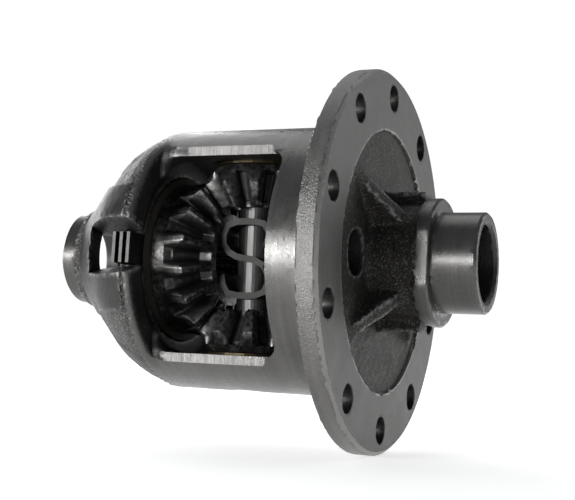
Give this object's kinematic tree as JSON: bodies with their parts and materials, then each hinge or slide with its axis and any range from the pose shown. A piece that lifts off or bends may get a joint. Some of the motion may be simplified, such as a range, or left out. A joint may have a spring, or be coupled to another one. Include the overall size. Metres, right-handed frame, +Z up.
{
  "type": "differential gear assembly",
  "caption": "Cast differential carrier with a drilled flange, side windows and bearing journals, holding bevel side gears, pinions on a cross shaft, clutch packs and an S-shaped spring.",
  "frame": {"origin": "centre of the bounding box, on the axle axis half way between the two journal ends", "axes": "+X along the axle axis towards the ring-gear flange, +Z up along the cross shaft, windows towards +Y and -Y"},
  "size_m": [0.2084, 0.175, 0.175],
  "materials": {
    "cast_case": "sand-cast skin with turned and milled faces",
    "gear_steel": "forged, phosphated and oiled",
    "friction_lining": "oil-soaked bonded lining on a steel core",
    "plate_steel": "ground flat, oiled",
    "shaft_steel": "ground",
    "bolt_steel": "black oxide",
    "washer_bronze": "dull, oiled",
    "spring_steel": "blued, oiled"
  },
  "bodies": {
    "case": {"case": "cast_case", "cross_shaft": "shaft_steel", "lock_bolt": "bolt_steel", "pinion_washer_top": "washer_bronze", "pinion_washer_bottom": "washer_bronze", "steel_plate_left_1": "plate_steel", "steel_plate_left_2": "plate_steel", "steel_plate_left_3": "plate_steel", "steel_plate_right_1": "plate_steel", "steel_plate_right_2": "plate_steel", "steel_plate_right_3": "plate_steel", "shim_left": "plate_steel", "shim_right": "plate_steel", "preload_spring": "spring_steel"},
    "left_side_gear": {"side_gear_left": "gear_steel", "friction_plate_left_1": "friction_lining", "friction_plate_left_2": "friction_lining", "friction_plate_left_3": "friction_lining", "friction_plate_left_4": "friction_lining"},
    "right_side_gear": {"side_gear_right": "gear_steel", "friction_plate_right_1": "friction_lining", "friction_plate_right_2": "friction_lining", "friction_plate_right_3": "friction_lining", "friction_plate_right_4": "friction_lining"},
    "top_pinion": {"pinion_gear_top": "gear_steel"},
    "bottom_pinion": {"pinion_gear_bottom": "gear_steel"}
  },
  "joints": [
    {"name": "left_side_gear_spin", "type": "hinge", "parent": "case", "child": "left_side_gear", "pos_m": [-0.0075, 0, 0], "axis": [1, 0, 0], "continuous": true},
    {"name": "right_side_gear_spin", "type": "hinge", "parent": "case", "child": "right_side_gear", "pos_m": [-0.0075, 0, 0], "axis": [1, 0, 0], "continuous": true},
    {"name": "top_pinion_spin", "type": "hinge", "parent": "case", "child": "top_pinion", "pos_m": [-0.0075, 0, 0.03], "axis": [0, 0, 1], "continuous": true},
    {"name": "bottom_pinion_spin", "type": "hinge", "parent": "case", "child": "bottom_pinion", "pos_m": [-0.0075, 0, -0.03], "axis": [0, 0, 1], "continuous": true}
  ],
  "couplings": [
    {"joint": "right_side_gear_spin", "follows": "left_side_gear_spin", "ratio": -1},
    {"joint": "top_pinion_spin", "follows": "left_side_gear_spin", "ratio": 1.6},
    {"joint": "bottom_pinion_spin", "follows": "left_side_gear_spin", "ratio": -1.6}
  ]
}
